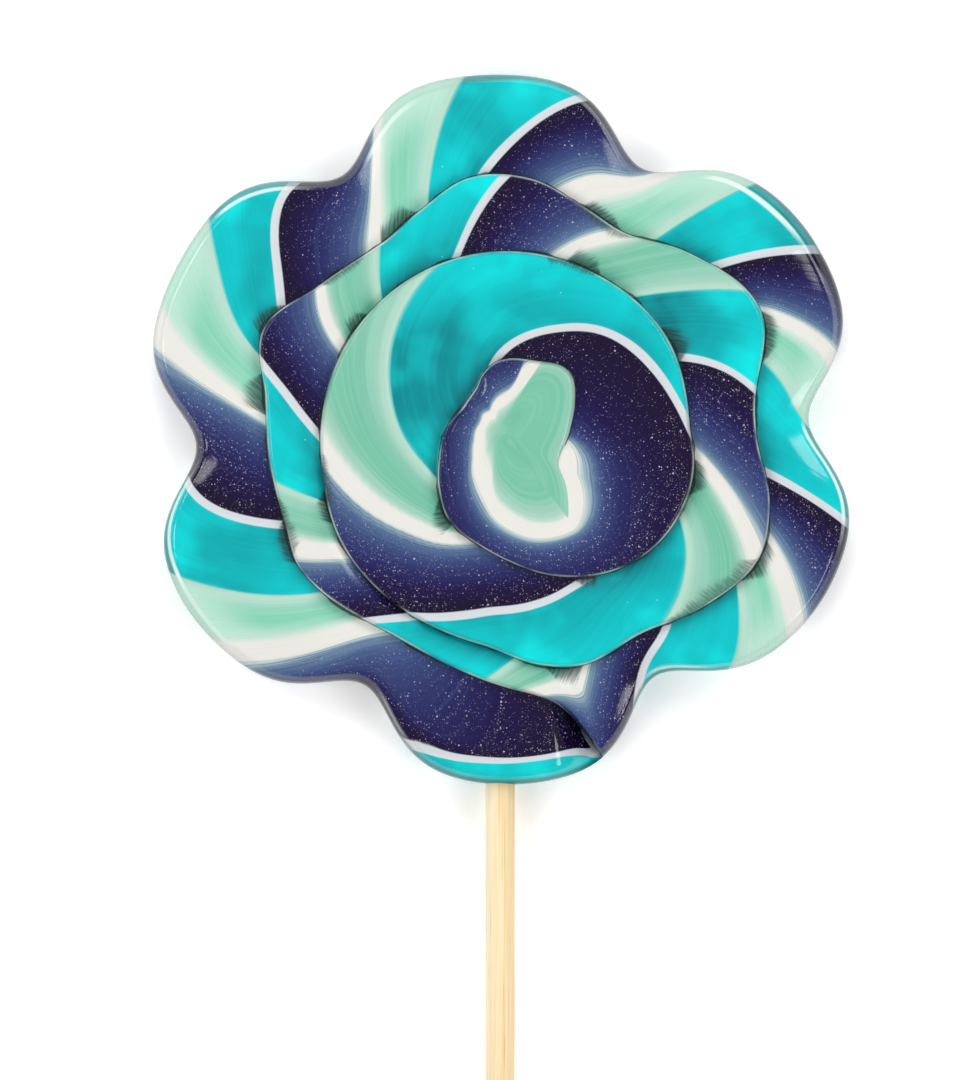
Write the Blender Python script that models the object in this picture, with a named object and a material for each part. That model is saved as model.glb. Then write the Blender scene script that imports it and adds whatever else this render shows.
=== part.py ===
"""A flower-shaped swirl lollipop, lying on its back.

One striped rope of boiled sugar is coiled outwards from a small bud. Each turn tucks under the
lip of the turn inside it, and the rim is pinched in at six places, which leaves six petals.
A round bamboo stick runs into the bottom petal.

The head's flat back lies on z = 0, with the origin at its middle. The petals face +Z and the
stick points along -Y. The dimensions below are millimetres and degrees.
"""

import math

import bmesh
import bpy
from mathutils import Matrix

MM = 0.001

# The rope's outer edge is a spiral. Its angle counts on from turn to turn, anticlockwise seen
# from above, and each row below is that angle and the distance of the edge from the middle.
BUD_EDGE = (
    (-52.5, 14.8), (-42, 11.9), (-30, 8.9), (0, 9.3), (19, 10.5), (35, 11.8), (45, 11.8),
    (62, 10.3), (90, 9.2), (105, 8.0), (120, 6.4), (145, 5.8), (160, 6.1), (180, 7.3),
    (205, 9.0), (225, 11.5), (240, 13.8), (260, 15.7), (275, 17.8), (290, 20.7), (310, 24.3),
)
MIDDLE_EDGE = (
    (325, 26.0), (340, 26.5), (350, 26.2), (361, 25.2), (390, 25.3), (425, 24.1),
    (495, 23.3), (550, 24.1), (575, 25.9), (625, 28.7), (640, 31.8), (650, 33.2), (665, 33.0),
)
PETAL_EDGE = (
    (680, 36.1), (693, 38.4), (705, 37.1), (717, 34.3), (728, 34.3), (745, 38.1), (763, 34.4),
    (777, 31.0), (790, 31.7), (803, 33.6), (817, 33.7), (830, 31.0), (843, 29.3), (862, 30.8),
    (877, 34.2), (892, 31.5), (910, 30.9), (924, 31.2), (935, 32.4), (960, 30.8), (975, 31.7),
    (992, 34.4), (1000, 36.4), (1004, 39.3),
)
CORE_START = -412.5
CORE_EVEN_SHARE = 0.55
SPIRAL_MEETS_RIM = 1007.5
ROPE_END = SPIRAL_MEETS_RIM + 360

# The rim: how far each petal reaches, and the pinches between them.
PETAL_REACH = (
    (31, 49.0), (47, 48.0), (92, 47.5), (152, 48.4), (207, 48.3), (227, 46.6), (252, 46.7),
    (272, 47.4), (291, 47.1), (314, 46.8), (335, 48.8),
)
PINCH_ANGLES = (2, 61.5, 122, 183, 242, 302)
PINCH_DEPTH = 7.9
PINCH_WIDTH = 11.0

# Heights above the table.
MIDDLE_HEIGHT = 12.5
RIM_HEIGHT = 8.4
RIM_RADIUS = 48.0
WIDEST_HEIGHT = 3.8
LEDGE = 1.6
LEDGE_GROWS_OVER = 90
CROWN = 0.5
FULL_CROWN_WIDTH = 6.0
PINCH_DIP = 0.8

# The rounding of the lips and of the rim, and the seams on the back.
LIP_ROUNDING = 0.7
RIM_ROUNDING = 1.9
BACK_ROUNDING = 2.2
MOST_ROUNDING = 0.35
SEAM_DEPTH = 0.7
SEAM_HALF_WIDTH = 1.2
RIM_BLEND = 7.5
TAIL_TUCK = 9.0

# The stick: round bamboo, set into the middle of the candy's thickness.
STICK_DIAMETER = 4.0
STICK_LENGTH = 150.0
STICK_DEPTH = 36.0
STICK_HEIGHT = 4.2
STICK_CHAMFER = 0.3
STICK_SIDES = 32
BOTTOM_OF_HEAD = 47.4
SOCKET_GAP = 0.3
SOCKET_OVERRUN = 12.0

# How finely the solid is faceted.
STATION = 360 / 108
TAIL_PARTS = 2
BODY_ROWS = (0.0, 0.2, 0.55, 1.0)
LIP_ROWS = (35, 65, 90)
WELD = 1e-7
SMOOTH_BELOW = 40

# Looks: the candy's main stripe, and plain bamboo.
TURQUOISE = (0.0, 0.55, 0.58)
BAMBOO = (0.86, 0.66, 0.36)
CANDY_ROUGHNESS = 0.08
BAMBOO_ROUGHNESS = 0.6


def clear_scene():
    for obj in list(bpy.data.objects):
        bpy.data.objects.remove(obj)


def ease(x, start, end):
    """0 before start, 1 after end, and smooth between them."""
    t = min(1.0, max(0.0, (x - start) / (end - start)))
    return t * t * (3 - 2 * t)


def through(knots, x):
    """The height at x of a smooth curve through the knots."""
    x = min(max(x, knots[0][0]), knots[-1][0])
    i = 0
    while i < len(knots) - 2 and x > knots[i + 1][0]:
        i += 1
    (x0, y0), (x1, y1) = knots[i], knots[i + 1]
    before, after = knots[max(i - 1, 0)], knots[min(i + 2, len(knots) - 1)]
    slope0 = (y1 - before[1]) / (x1 - before[0])
    slope1 = (after[1] - y0) / (after[0] - x0)
    t, span = (x - x0) / (x1 - x0), x1 - x0
    return (
        y0 * (1 + 2 * t) * (1 - t) ** 2
        + slope0 * span * t * (1 - t) ** 2
        + y1 * t * t * (3 - 2 * t)
        - slope1 * span * t * t * (1 - t)
    )


def pinch(angle):
    """1 in the middle of a pinch and 0 on a petal."""
    apart = [abs((angle - p + 180) % 360 - 180) for p in PINCH_ANGLES]
    return sum(math.exp(-((a / PINCH_WIDTH) ** 2)) for a in apart)


def rim(angle):
    """Distance of the flower's outline from the middle."""
    round_again = [(a + 360 * k, reach) for k in (-1, 0, 1) for a, reach in PETAL_REACH]
    return through(round_again, angle % 360) - PINCH_DEPTH * pinch(angle)


SPIRAL = (
    BUD_EDGE + MIDDLE_EDGE + PETAL_EDGE + ((SPIRAL_MEETS_RIM, rim(SPIRAL_MEETS_RIM)),)
)


def edge(turned):
    """Distance of the rope's outer edge from the middle, at an angle counted on through the turns."""
    if turned <= CORE_START:
        return 0.0
    if turned < BUD_EDGE[0][0]:
        share = (turned - CORE_START) / (BUD_EDGE[0][0] - CORE_START)
        return BUD_EDGE[0][1] * (CORE_EVEN_SHARE * share + (1 - CORE_EVEN_SHARE) * share**5)
    if turned >= SPIRAL_MEETS_RIM:
        return rim(turned)
    return through(SPIRAL, turned)


def dome(radius):
    return RIM_HEIGHT + (MIDDLE_HEIGHT - RIM_HEIGHT) * (1 - (radius / RIM_RADIUS) ** 2)


def at_rim(turned):
    """0 where the edge is a lip on the next turn, and 1 where it is the head's rim."""
    return ease(turned, SPIRAL_MEETS_RIM - RIM_BLEND, SPIRAL_MEETS_RIM)


def ledge(turned):
    return LEDGE * ease(turned, BUD_EDGE[0][0], BUD_EDGE[0][0] + LEDGE_GROWS_OVER)


def crest(turned):
    """Height of the top of the lip or rim."""
    lift = ledge(turned) / 2 * (1 - at_rim(turned))
    return dome(edge(turned)) + lift - PINCH_DIP * pinch(turned) * at_rim(turned)


def foot(turned):
    """Height where the lip meets the next turn, or where the rim is widest."""
    on_next_turn = dome(edge(turned)) - ledge(turned) / 2
    share = at_rim(turned)
    return on_next_turn * (1 - share) + WIDEST_HEIGHT * share


def seam(turned):
    """Height of the back where two turns meet, or where the rim is widest."""
    depth = SEAM_DEPTH * ledge(turned) / LEDGE
    share = at_rim(turned)
    return depth * (1 - share) + WIDEST_HEIGHT * share


def rounding(turned, at_lip, rim_size, width):
    share = at_rim(turned)
    return min(at_lip * (1 - share) + rim_size * share, MOST_ROUNDING * width)


def thinned(turned, section):
    """The rope's far end thins out to nothing where it slides under the lip."""
    left = 1 - ease(turned, ROPE_END - TAIL_TUCK, ROPE_END)
    start, end, rows = section[0][1], section[-1][1], len(section) - 1
    flat = [start + (end - start) * i / rows for i in range(rows + 1)]
    return [(r, low + (z - low) * left) for (r, z), low in zip(section, flat)]


def top_section(turned):
    """(radius, height) across the top of the rope, from the turn inside it to its outer edge."""
    inner, outer = edge(turned - 360), edge(turned)
    width = outer - inner
    lip = rounding(turned, LIP_ROUNDING, RIM_ROUNDING, width)
    low, high, end = foot(turned - 360), crest(turned), foot(turned)
    crown = CROWN * min(1.0, width / FULL_CROWN_WIDTH)
    body = [
        (inner + (width - lip) * u, low + (high - low) * u + crown * math.sin(math.pi * u))
        for u in BODY_ROWS
    ]
    turned_down = [
        (outer - lip * (1 - math.sin(a)), end + (high - end) * math.cos(a))
        for a in map(math.radians, LIP_ROWS)
    ]
    return thinned(turned, body + turned_down)


def back_section(turned):
    """(radius, height) across the back of the rope, from its outer edge to the turn inside it."""
    inner, outer = edge(turned - 360), edge(turned)
    width = outer - inner
    outer_round = rounding(turned, SEAM_HALF_WIDTH, BACK_ROUNDING, width)
    inner_round = min(SEAM_HALF_WIDTH, MOST_ROUNDING * width)
    end, start = seam(turned), seam(turned - 360)
    half = math.sqrt(0.5)
    back = [
        (outer, end),
        (outer - outer_round * (1 - half), end * (1 - half)),
        (outer - outer_round, 0.0),
        (inner + inner_round, 0.0),
        (inner, start),
    ]
    return thinned(turned, back)


def stations():
    """Angles along the rope, the same in every turn, and closer together where its end is tucked."""
    steps = round((ROPE_END - CORE_START) / STATION)
    angles = []
    for i in range(steps):
        angle = CORE_START + STATION * i
        before_end = (ROPE_END - angle) % 360
        parts = TAIL_PARTS if 0 < before_end <= TAIL_TUCK else 1
        angles += [angle + STATION * j / parts for j in range(parts)]
    return angles + [ROPE_END]


def roll_up(bm, section):
    """Makes a flat grid, one column for each station along the rope, and rolls it into the coil."""
    angles = stations()
    columns, rows = len(angles) - 1, len(section(ROPE_END)) - 1
    grid = bmesh.ops.create_grid(bm, x_segments=columns, y_segments=rows, size=0.5)
    sections = [section(angle) for angle in angles]
    for vertex in grid["verts"]:
        i = round((vertex.co.x + 0.5) * columns)
        radius, height = sections[i][round((vertex.co.y + 0.5) * rows)]
        angle = math.radians(angles[i])
        vertex.co = (
            radius * math.cos(angle) * MM,
            radius * math.sin(angle) * MM,
            height * MM,
        )


def material(name, colour, roughness):
    made = bpy.data.materials.new(name)
    made.use_nodes = True
    shader = made.node_tree.nodes["Principled BSDF"]
    shader.inputs["Base Color"].default_value = (*colour, 1)
    shader.inputs["Roughness"].default_value = roughness
    shader.inputs["Metallic"].default_value = 0.0
    return made


def shade_round(obj):
    obj.data.shade_smooth()
    obj.data.set_sharp_from_angle(angle=math.radians(SMOOTH_BELOW))


def put_in_scene(name, bm, finish):
    mesh = bpy.data.meshes.new(name)
    bm.to_mesh(mesh)
    bm.free()
    obj = bpy.data.objects.new(name, mesh)
    bpy.context.scene.collection.objects.link(obj)
    if finish:
        mesh.materials.append(finish)
    return obj


def make_head():
    """The coil's top and its back, welded turn to turn along the seams and round the rim."""
    bm = bmesh.new()
    roll_up(bm, top_section)
    roll_up(bm, back_section)
    bmesh.ops.remove_doubles(bm, verts=bm.verts, dist=WELD)
    bmesh.ops.dissolve_degenerate(bm, edges=bm.edges, dist=WELD)
    bmesh.ops.recalc_face_normals(bm, faces=bm.faces)
    head = put_in_scene("candy", bm, material("candy", TURQUOISE, CANDY_ROUGHNESS))
    shade_round(head)
    return head


def rod(name, diameter, length, finish, chamfer):
    """A round bar along Y, its far end at the origin of the object and its body towards -Y."""
    bm = bmesh.new()
    bmesh.ops.create_cone(
        bm,
        cap_ends=True,
        segments=STICK_SIDES,
        radius1=diameter / 2 * MM,
        radius2=diameter / 2 * MM,
        depth=length * MM,
    )
    if chamfer:
        rims = [e for e in bm.edges if abs(e.verts[0].co.z - e.verts[1].co.z) < WELD]
        bmesh.ops.bevel(
            bm, geom=rims, offset=chamfer * MM, segments=1, profile=0.5, affect="EDGES"
        )
    lie_down = Matrix.Rotation(math.radians(-90), 4, "X")
    step_back = Matrix.Translation((0, -length / 2 * MM, 0))
    bmesh.ops.transform(bm, matrix=step_back @ lie_down, verts=bm.verts)
    return put_in_scene(name, bm, finish)


def make_stick():
    bamboo = material("bamboo", BAMBOO, BAMBOO_ROUGHNESS)
    stick = rod("stick", STICK_DIAMETER, STICK_LENGTH, bamboo, STICK_CHAMFER)
    stick.location = (0, -(BOTTOM_OF_HEAD - STICK_DEPTH) * MM, STICK_HEIGHT * MM)
    shade_round(stick)


def cut_socket(head):
    """The hole that the stick is set in, a little wider and deeper than the stick."""
    hole = STICK_DIAMETER + 2 * SOCKET_GAP
    cutter = rod("socket_cutter", hole, STICK_DEPTH + SOCKET_OVERRUN, None, 0)
    cutter.location = (0, -(BOTTOM_OF_HEAD - STICK_DEPTH - SOCKET_GAP) * MM, STICK_HEIGHT * MM)
    cutter.hide_render = True
    cutter.display_type = "WIRE"
    socket = head.modifiers.new("socket", "BOOLEAN")
    socket.operation = "DIFFERENCE"
    socket.object = cutter


clear_scene()
candy = make_head()
make_stick()
cut_socket(candy)
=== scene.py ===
# %% [markdown]
# A flower-shaped swirl lollipop, lying on its back on a white table
#
# Hard candy of this kind starts as one thick rope of cooked sugar. Coloured strips are laid side
# by side along it, the rope is twisted while it is warm, coiled up flat from the middle outwards,
# pinched in at six places to make petals, and pressed onto a stick. This lesson rebuilds that
# sweet the same way: one rope, rolled into a coil, with stripes that follow its twist.

# %% The frame
import math

import bmesh
import bpy
import numpy as np
from mathutils import Matrix, Vector, noise


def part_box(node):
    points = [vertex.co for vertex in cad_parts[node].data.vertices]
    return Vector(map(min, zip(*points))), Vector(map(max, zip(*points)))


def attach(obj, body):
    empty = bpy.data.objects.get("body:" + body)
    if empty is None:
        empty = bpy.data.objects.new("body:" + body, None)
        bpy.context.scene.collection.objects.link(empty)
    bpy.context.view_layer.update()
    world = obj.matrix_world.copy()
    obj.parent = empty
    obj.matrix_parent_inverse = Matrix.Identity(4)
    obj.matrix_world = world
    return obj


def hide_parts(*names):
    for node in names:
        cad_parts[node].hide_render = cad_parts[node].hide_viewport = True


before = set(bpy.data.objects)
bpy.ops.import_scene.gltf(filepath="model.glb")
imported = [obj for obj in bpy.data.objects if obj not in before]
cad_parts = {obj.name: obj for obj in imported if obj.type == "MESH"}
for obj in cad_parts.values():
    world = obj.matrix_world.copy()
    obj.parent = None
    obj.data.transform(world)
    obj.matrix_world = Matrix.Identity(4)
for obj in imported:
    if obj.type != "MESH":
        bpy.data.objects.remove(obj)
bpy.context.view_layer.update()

# %% [markdown]
# Two small tools for curves
#
# A hand-made sweet has no straight lines, so its edges are smooth curves through a few measured
# places. `through` draws such a curve: a cubic piece between each two places, with the slope at
# each place taken from its neighbours. `ease` fades one thing into another without a corner.

# %% Smooth curves
MM = 0.001


def ease(x, start, end):
    """0 at start, 1 at end, level beyond them and smooth between them."""
    t = min(1.0, max(0.0, (x - start) / (end - start)))
    return t * t * (3 - 2 * t)


def through(knots, x):
    """The height at x of a smooth curve through the knots."""
    x = min(max(x, knots[0][0]), knots[-1][0])
    i = 0
    while i < len(knots) - 2 and x > knots[i + 1][0]:
        i += 1
    (x0, y0), (x1, y1) = knots[i], knots[i + 1]
    before, after = knots[max(i - 1, 0)], knots[min(i + 2, len(knots) - 1)]
    slope0 = (y1 - before[1]) / (x1 - before[0])
    slope1 = (after[1] - y0) / (after[0] - x0)
    t, span = (x - x0) / (x1 - x0), x1 - x0
    return (
        y0 * (1 + 2 * t) * (1 - t) ** 2
        + slope0 * span * t * (1 - t) ** 2
        + y1 * t * t * (3 - 2 * t)
        - slope1 * span * t * t * (1 - t)
    )


print("halfway up a curve through 0, 1 and 0:", through(((0, 0), (1, 1), (2, 0)), 0.5))

# %% [markdown]
# The outline of the flower
#
# Six petals, all slightly different, with a pinch between each two. A list of how far each petal
# reaches gives the uneven size, and one bell-shaped dip, repeated at six angles, gives the pinches.
# That is easier to adjust by eye than an outline drawn point by point.

# %% The outline, in millimetres and degrees
PETAL_REACH = (
    (31, 49.0), (47, 48.0), (92, 47.5), (152, 48.4), (207, 48.3), (227, 46.6), (252, 46.7),
    (272, 47.4), (291, 47.1), (314, 46.8), (335, 48.8),
)
PINCH_ANGLES = (2, 61.5, 122, 183, 242, 302)
PINCH_DEPTH = 7.9
PINCH_WIDTH = 11.0
RIM_TRIM = 0.07  # keeps the smooth outline inside the solid's faceted one


def pinch(angle):
    """1 in the middle of a pinch and 0 on a petal."""
    apart = [abs((angle - p + 180) % 360 - 180) for p in PINCH_ANGLES]
    return sum(math.exp(-((a / PINCH_WIDTH) ** 2)) for a in apart)


def rim(angle):
    """Distance of the flower's outline from the middle."""
    round_again = [(a + 360 * k, reach) for k in (-1, 0, 1) for a, reach in PETAL_REACH]
    return through(round_again, angle % 360) - PINCH_DEPTH * pinch(angle) - RIM_TRIM


print("petal tips, mm:", [round(rim(a), 1) for a in (31, 92, 152, 207, 272, 335)])

# %% [markdown]
# The coil
#
# The rope's outer edge is a spiral that starts at the small fold in the bud and winds outwards
# for nearly three turns before it becomes the rim. Its angle counts on from turn to turn, so at
# any angle the rope lies between the edge one turn earlier and the edge now. Seen like that, the
# whole head is one long ribbon, and everything below is worked out along it. From the fold
# inwards the spiral runs on for one more turn, unseen, to the middle of the bud.

# %% The spiral edge
BUD_EDGE = (
    (-52.5, 14.8), (-42, 11.9), (-30, 8.9), (0, 9.3), (19, 10.5), (35, 11.8), (45, 11.8),
    (62, 10.3), (90, 9.2), (105, 8.0), (120, 6.4), (145, 5.8), (160, 6.1), (180, 7.3),
    (205, 9.0), (225, 11.5), (240, 13.8), (260, 15.7), (275, 17.8), (290, 20.7), (310, 24.3),
)
MIDDLE_EDGE = (
    (325, 26.0), (340, 26.5), (350, 26.2), (361, 25.2), (390, 25.3), (425, 24.1),
    (495, 23.3), (550, 24.1), (575, 25.9), (625, 28.7), (640, 31.8), (650, 33.2), (665, 33.0),
)
PETAL_EDGE = (
    (680, 36.1), (693, 38.4), (705, 37.1), (717, 34.3), (728, 34.3), (745, 38.1), (763, 34.4),
    (777, 31.0), (790, 31.7), (803, 33.6), (817, 33.7), (830, 31.0), (843, 29.3), (862, 30.8),
    (877, 34.2), (892, 31.5), (910, 30.9), (924, 31.2), (935, 32.4), (960, 30.8), (975, 31.7),
    (992, 34.4), (1000, 36.4), (1004, 39.3),
)
CORE_START = -412.25  # a whole number of stations before the rope's end
CORE_EVEN_SHARE = 0.55
CORE_LATE_POWER = 5
SPIRAL_MEETS_RIM = 1007.5
ROPE_END = SPIRAL_MEETS_RIM + 360
SPIRAL = BUD_EDGE + MIDDLE_EDGE + PETAL_EDGE + ((SPIRAL_MEETS_RIM, rim(SPIRAL_MEETS_RIM)),)


def edge(turned):
    """How far out the rope's outer edge is, at an angle counted on through the turns."""
    if turned <= CORE_START:
        return 0.0
    if turned < BUD_EDGE[0][0]:
        share = (turned - CORE_START) / (BUD_EDGE[0][0] - CORE_START)
        late = (1 - CORE_EVEN_SHARE) * share**CORE_LATE_POWER
        return BUD_EDGE[0][1] * (CORE_EVEN_SHARE * share + late)
    if turned >= SPIRAL_MEETS_RIM:
        return rim(turned)
    return through(SPIRAL, turned)


print("turns of rope:", round((ROPE_END - BUD_EDGE[0][0]) / 360, 2))

# %% [markdown]
# The heights
#
# The head is a low dome, thickest in the middle. Each turn ends in a rounded lip that stands a
# little above the next turn, and that small step is what reads as a rose. The last turn has no
# neighbour, so its edge rolls over into the side wall instead. `at_rim` blends the one into the
# other over a few degrees.

# %% Dome, lips and rim
MIDDLE_HEIGHT = 12.5
RIM_HEIGHT = 8.4
RIM_RADIUS = 48.0
WIDEST_HEIGHT = 3.8
LEDGE = 1.6
LEDGE_GROWS_OVER = 90
PINCH_DIP = 0.8
SEAM_DEPTH = 0.7
RIM_BLEND = 7.5


def dome(radius):
    return RIM_HEIGHT + (MIDDLE_HEIGHT - RIM_HEIGHT) * (1 - (radius / RIM_RADIUS) ** 2)


def at_rim(turned):
    """0 where the edge is a lip on the next turn, and 1 where it is the head's rim."""
    return ease(turned, SPIRAL_MEETS_RIM - RIM_BLEND, SPIRAL_MEETS_RIM)


def ledge(turned):
    return LEDGE * ease(turned, BUD_EDGE[0][0], BUD_EDGE[0][0] + LEDGE_GROWS_OVER)


def crest(turned):
    """Height of the top of the lip or rim."""
    lift = ledge(turned) / 2 * (1 - at_rim(turned))
    return dome(edge(turned)) + lift - PINCH_DIP * pinch(turned) * at_rim(turned)


def foot(turned):
    """Height where the lip meets the next turn, or where the rim is widest."""
    on_next_turn = dome(edge(turned)) - ledge(turned) / 2
    share = at_rim(turned)
    return on_next_turn * (1 - share) + WIDEST_HEIGHT * share


def seam(turned):
    """Height of the back where two turns meet, or where the rim is widest."""
    depth = SEAM_DEPTH * ledge(turned) / LEDGE
    share = at_rim(turned)
    return depth * (1 - share) + WIDEST_HEIGHT * share


print("lip heights, mm:", [round(crest(a), 1) for a in (90, 450, 810, 1170)])

# %% [markdown]
# Across the top of the ribbon
#
# Across the rope the top rises from the crease, is gently crowned, and turns down over the lip
# along a quarter of a circle. Each row below is one line of points along the rope; rows are closer
# together near the crease and round the lip, where the surface bends most. In the bud the crease
# hardly shows, so there the top follows the dome, and only its two sides fit the turns beside it.

# %% Sections of the top
CROWN = 0.5
FULL_CROWN_WIDTH = 6.0
LIP_ROUNDING = 0.7
RIM_ROUNDING = 1.9
MOST_ROUNDING = 0.35  # of the rope's width
TAIL_TUCK = 9.0
BUD_FADES_OVER = 70
BUD_CREASE_POWER = 6
BODY_ROWS = (
    0, 0.02, 0.05, 0.09, 0.14, 0.2, 0.26, 0.32, 0.38, 0.44, 0.5, 0.57, 0.64, 0.71, 0.78, 0.85,
    0.91, 0.96, 1,
)
LIP_ROWS = (10, 20, 30, 41, 52, 64, 77, 90)


def rounding(turned, at_lip, rim_size, width):
    share = at_rim(turned)
    return min(at_lip * (1 - share) + rim_size * share, MOST_ROUNDING * width)


def thinned(turned, section):
    """The rope's far end thins out to nothing where it slides under the lip."""
    left = 1 - ease(turned, ROPE_END - TAIL_TUCK, ROPE_END)
    start, end, rows = section[0][1], section[-1][1], len(section) - 1
    flat = [start + (end - start) * i / rows for i in range(rows + 1)]
    return [(r, low + (z - low) * left) for (r, z), low in zip(section, flat)]


def top_section(turned):
    """(radius, height) across the top of the rope, from the turn inside it to its outer edge."""
    inner, outer = edge(turned - 360), edge(turned)
    width = outer - inner
    lip = rounding(turned, LIP_ROUNDING, RIM_ROUNDING, width)
    low, high, end = foot(turned - 360), crest(turned), foot(turned)
    crown = CROWN * min(1.0, width / FULL_CROWN_WIDTH)
    bud_ends = BUD_EDGE[0][0] + 360
    in_bud = 1 - ease(turned, bud_ends, bud_ends + BUD_FADES_OVER)
    body = []
    for u in BODY_ROWS:
        radius = inner + (width - lip) * u
        crowned = low + (high - low) * u + crown * math.sin(math.pi * u)
        at_crease = (low - dome(inner)) * (1 - u) ** BUD_CREASE_POWER
        domed = dome(radius) + at_crease + (high - dome(outer - lip)) * u**2
        body.append((radius, crowned + (domed - crowned) * in_bud))
    turned_down = [
        (outer - lip * (1 - math.sin(a)), end + (high - end) * math.cos(a))
        for a in map(math.radians, LIP_ROWS)
    ]
    return thinned(turned, body + turned_down)


print("rows across the top:", len(top_section(900)))

# %% [markdown]
# Across the back
#
# The back is flat, because the sweet was pressed on a slab, with a shallow groove where two turns
# meet. Under the rim it rounds up into the side wall.

# %% Sections of the back
BACK_ROUNDING = 2.2
SEAM_HALF_WIDTH = 1.2
BACK_ROUND_ROWS = (0, 22.5, 45, 67.5, 90)
BACK_FLAT_ROWS = (0.25, 0.5, 0.75)


def back_section(turned):
    """(radius, height) across the back of the rope, from its outer edge to the turn inside it."""
    inner, outer = edge(turned - 360), edge(turned)
    width = outer - inner
    outer_round = rounding(turned, SEAM_HALF_WIDTH, BACK_ROUNDING, width)
    inner_round = min(SEAM_HALF_WIDTH, MOST_ROUNDING * width)
    end, start = seam(turned), seam(turned - 360)
    round_off = [
        (outer - outer_round * (1 - math.cos(a)), end * (1 - math.sin(a)))
        for a in map(math.radians, BACK_ROUND_ROWS)
    ]
    flat_end, flat_start = outer - outer_round, inner + inner_round
    flat = [(flat_end + (flat_start - flat_end) * share, 0.0) for share in BACK_FLAT_ROWS]
    return thinned(turned, round_off + flat + [(flat_start, 0.0), (inner, start)])


print("rows across the back:", len(back_section(900)))

# %% [markdown]
# The stripes
#
# One twist of the rope shows, in order, a turquoise strip, a pale haze, mint, cream, then blue
# that deepens to navy, and a thin white thread before turquoise comes round again. Because the
# rope is twisted, each border slants: it leaves the inner side of the ribbon at one angle and
# reaches the outer side at a smaller one. Two angles for each border are all it takes to draw
# every stripe, and the twist tightens and slackens as it does in a sweet made by hand.

# %% Where each border starts and ends
# Each row is one twist, and holds (angle at the inner side, angle at the outer side) of the white
# thread, of the haze between turquoise and mint, of mint to cream, and of cream to blue.
TWISTS = (
    ((454.7, 360.0), (580.0, 471.4), (608.0, 537.0), (621.0, 555.0)),
    ((661.7, 605.0), (694.4, 669.7), (710.0, 689.2), (717.4, 698.4)),
    ((742.4, 728.6), (765.3, 749.3), (788.9, 774.0), (795.8, 782.0)),
    ((824.5, 808.4), (852.6, 843.4), (870.4, 859.5), (876.0, 863.5)),
    ((902.3, 884.0), (923.0, 913.0), (935.0, 926.0), (943.0, 934.0)),
    ((965.0, 955.0), (994.0, 986.5), (1006.0, 994.5), (1012.8, 1000.0)),
    ((1030.9, 1016.5), (1047.0, 1033.7), (1054.4, 1043.5), (1060.7, 1049.2)),
    ((1071.0, 1064.7), (1095.0, 1080.0), (1102.5, 1090.0), (1106.5, 1094.0)),
    ((1117.3, 1109.3), (1131.0, 1124.0), (1148.9, 1134.0), (1159.5, 1140.0)),
    ((1174.0, 1155.2), (1188.0, 1175.9), (1201.7, 1190.0), (1209.0, 1193.0)),
    ((1231.0, 1209.0), (1243.0, 1224.0), (1256.0, 1239.0), (1260.0, 1248.8)),
    ((1284.0, 1268.6), (1302.5, 1283.5), (1313.4, 1295.6), (1324.3, 1304.2)),
)
# In the bottom petal the last white thread runs along the rim for a while before it dives inwards.
LAST_THREAD = (1366.0, 1332.5)
LAST_THREAD_LEAN = (
    (0, 0), (0.5, 0), (0.66, 0.1), (0.745, 0.45), (0.8, 0.7), (0.87, 0.87), (1, 1), (2, 2),
)
AFTER_LAST_THREAD = (1420.0, 1400.0)
BORDERS = np.array([border for twist in TWISTS for border in twist])
STAGES = [1 + k / 4 for k in range(len(BORDERS) + 2)]


def bent(across):
    """The last thread's lean: it comes late and all at once, and goes on evenly round the back."""
    return through(LAST_THREAD_LEAN, across)


def bends_by(across, near=0.01):
    """How steeply the last thread leans here."""
    return (bent(across + near) - bent(across - near)) / (2 * near)


def stage(turned, across):
    """How many twists of the rope lie behind this point, counted from the bud.

    across runs from 0 at the inner side to 1 at the outer side, and on to 2 round the back.
    """
    run = list(BORDERS[:, 0] + (BORDERS[:, 1] - BORDERS[:, 0]) * across)
    run.append(LAST_THREAD[0] + (LAST_THREAD[1] - LAST_THREAD[0]) * bent(across))
    run.append(AFTER_LAST_THREAD[0] + (AFTER_LAST_THREAD[1] - AFTER_LAST_THREAD[0]) * across)
    return through(list(zip(run, STAGES)), turned)


print("borders between stripes:", len(STAGES), "stage at 900 degrees:", round(stage(900, 0.5), 2))

# %% [markdown]
# The stripes in the bud
#
# The bud shows the end of the rope, so its mint is a broad core, and cream and blue run round it
# along the bud's edge and then sweep in to the fold. Those two borders are given as a depth in
# from the bud's edge at each angle, and the stage is shared out between them by distance. Further
# in, the mint gets a little deeper over some millimetres and then stays even.

# %% Borders in the bud
MINT_TO_CREAM_DEPTH = (
    (54, -1.5), (58.5, 0), (60, 3.6), (67, 5.9), (84, 6.7), (104, 6.2), (124, 4.7), (150, 4.2),
    (180, 5.4), (208, 7.15), (236, 10.0), (250, 10.8), (259, 10.1), (263, 8.7), (268, 7.7),
    (278, 7.5), (288, 7.7), (298, 8.4), (306, 9.4), (309, 10.6), (315, 14), (330, 22),
)
CREAM_TO_BLUE_DEPTH = (
    (65, -1.5), (70.5, 0), (72, 2.4), (80, 3.9), (102, 4.0), (139, 2.5), (180, 3.8), (208, 4.8),
    (226, 5.7), (240, 5.6), (251, 4.7), (260, 3.8), (270, 3.4), (280, 3.6), (291, 4.5),
    (302, 5.8), (310, 6.9), (317, 8.3), (324, 10.1), (331, 11.9), (340, 13.5), (349, 15.3),
    (353, 16.3), (360, 17.5), (400, 24),
)
CREAM_STAGE, BLUE_STAGE = 0.5, 0.75
MINT_SPAN = 0.14  # of a twist, from the border of the mint to the middle of the bud
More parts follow.
